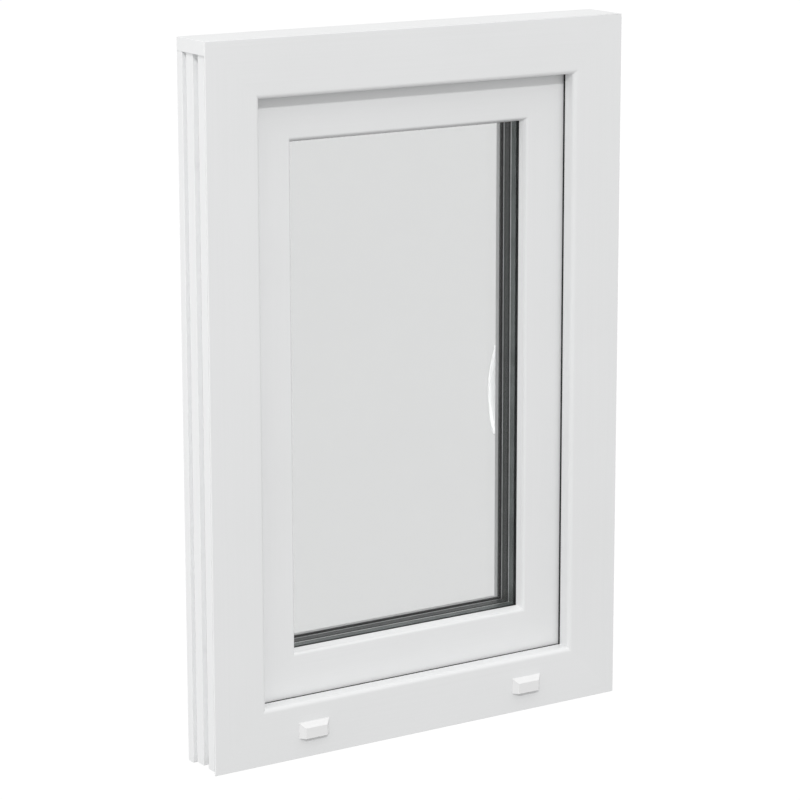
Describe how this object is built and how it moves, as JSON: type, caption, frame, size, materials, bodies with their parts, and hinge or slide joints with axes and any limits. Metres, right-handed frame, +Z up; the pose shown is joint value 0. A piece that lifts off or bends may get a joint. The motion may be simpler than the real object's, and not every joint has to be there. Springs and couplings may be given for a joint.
{
  "type": "casement window",
  "caption": "White plastic casement window with an inward-opening triple-glazed sash, a lever handle with a rack-driven lock, and lift-off hinges.",
  "frame": {"origin": "middle of the frame's indoor foot, on its lowest edge, half way across the width", "axes": "+Z up, +Y into the room, +X to the right seen from outdoors"},
  "size_m": [0.6, 0.165, 0.9],
  "materials": {
    "white_frame_profile": "smooth satin white PVC, square weld seams at the mitres",
    "white_sash_profile": "smooth satin white PVC",
    "white_strip": "smooth white PVC",
    "white_cap": "moulded white plastic",
    "white_painted_metal": "white powder coat",
    "galvanised_steel": "galvanised sheet",
    "lock_steel": "zinc plated steel",
    "black_seal": "matt black rubber",
    "black_spacer": "matt black warm edge",
    "glazing_block": "hard moulded plastic",
    "glass": "clear float glass"
  },
  "bodies": {
    "frame": {"frame_sill": "white_frame_profile", "frame_head": "white_frame_profile", "frame_jamb_hinge_side": "white_frame_profile", "frame_jamb_lock_side": "white_frame_profile", "frame_steel_sill": "galvanised_steel", "frame_steel_head": "galvanised_steel", "frame_steel_hinge_side": "galvanised_steel", "frame_steel_lock_side": "galvanised_steel", "head_strip": "white_strip", "strip_cap_left": "white_strip", "strip_cap_right": "white_strip", "frame_gasket": "black_seal", "drain_cap_left": "white_cap", "drain_cap_right": "white_cap", "keeper_lower": "lock_steel", "keeper_upper": "lock_steel", "keeper_screws": "lock_steel", "frame_hinge_lower": "white_painted_metal", "frame_hinge_upper": "white_painted_metal", "hinge_pin_lower": "lock_steel", "hinge_pin_upper": "lock_steel", "frame_hinge_screws": "lock_steel"},
    "sash": {"sash_bottom_rail": "white_sash_profile", "sash_top_rail": "white_sash_profile", "sash_stile_hinge_side": "white_sash_profile", "sash_stile_lock_side": "white_sash_profile", "sash_steel_bottom": "galvanised_steel", "sash_steel_top": "galvanised_steel", "sash_steel_hinge_side": "galvanised_steel", "sash_steel_lock_side": "galvanised_steel", "outer_pane": "glass", "middle_pane": "glass", "inner_pane": "glass", "outer_spacer": "black_spacer", "inner_spacer": "black_spacer", "glazing_gasket_outer": "black_seal", "glazing_gasket_inner": "black_seal", "glazing_blocks": "glazing_block", "bead_bottom": "white_sash_profile", "bead_top": "white_sash_profile", "bead_hinge_side": "white_sash_profile", "bead_lock_side": "white_sash_profile", "sash_gasket": "black_seal", "lock_faceplate": "lock_steel", "faceplate_screws": "lock_steel", "gearbox_case": "lock_steel", "sash_hinge_lower": "white_painted_metal", "sash_hinge_upper": "white_painted_metal", "sash_hinge_screws": "lock_steel", "handle_base": "white_painted_metal", "handle_screws": "lock_steel", "handle_cover": "white_painted_metal"},
    "drive": {"drive_rod": "lock_steel", "locking_cams": "lock_steel"},
    "handle": {"handle_lever": "white_painted_metal", "handle_spindle": "lock_steel", "drive_pinion": "lock_steel"}
  },
  "joints": [
    {"name": "sash_turn", "type": "hinge", "parent": "frame", "child": "sash", "pos_m": [-0.266, 0.0255, 0.45], "axis": [0, 0, 1], "range_deg": [0, 90]},
    {"name": "handle_turn", "type": "hinge", "parent": "sash", "child": "handle", "pos_m": [0.211, -0.0035, 0.45], "axis": [0, 1, 0], "range_deg": [0, 90]},
    {"name": "drive_slide", "type": "slide", "parent": "sash", "child": "drive", "axis": [0, 0, -1], "range_m": [0, 0.0178]}
  ],
  "couplings": [
    {"joint": "drive_slide", "follows": "handle_turn", "m_per_rad": 0.01125}
  ]
}
